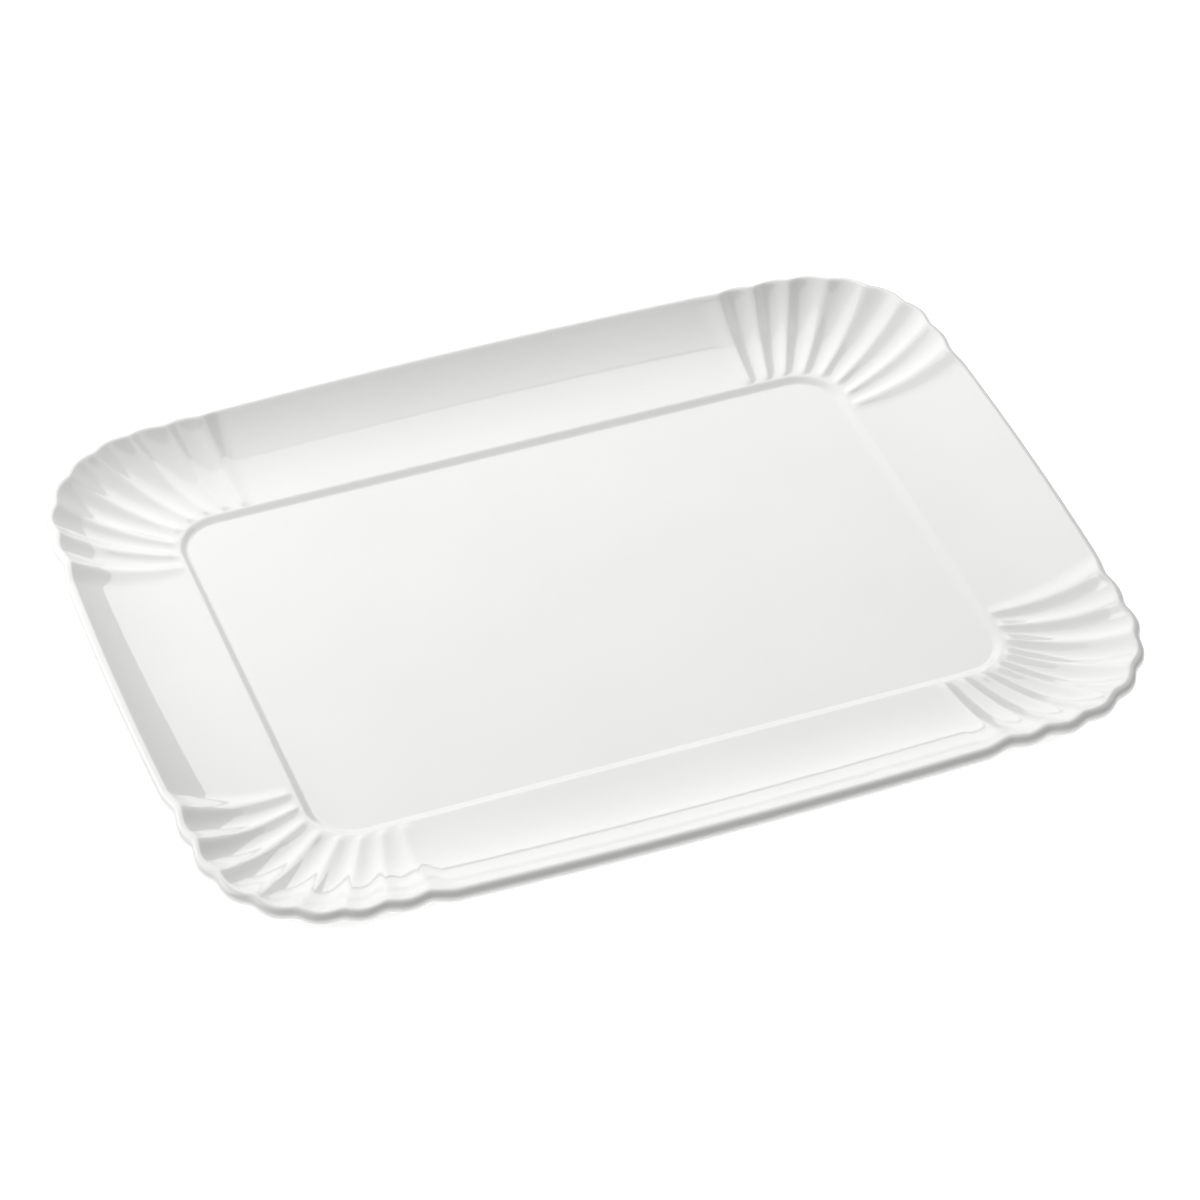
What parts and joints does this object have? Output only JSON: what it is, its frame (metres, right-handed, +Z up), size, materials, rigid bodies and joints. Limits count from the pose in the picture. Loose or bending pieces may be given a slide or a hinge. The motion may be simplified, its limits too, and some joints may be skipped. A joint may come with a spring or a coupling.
{
  "type": "serving platter",
  "caption": "Oblong white porcelain serving platter shaped like a pastry tray, with a flat well, sloping sides and fluted corners.",
  "frame": {"origin": "on the resting plane, under the middle of the platter", "axes": "+X along the platter's length, +Y across its width, +Z up out of the well"},
  "size_m": [0.3606, 0.2818, 0.0197],
  "materials": {
    "white_glaze": "gloss",
    "bare_porcelain": "matt, unglazed"
  },
  "bodies": {
    "root": {"platter_body": "white_glaze", "foot_ring": "bare_porcelain"}
  },
  "joints": []
}
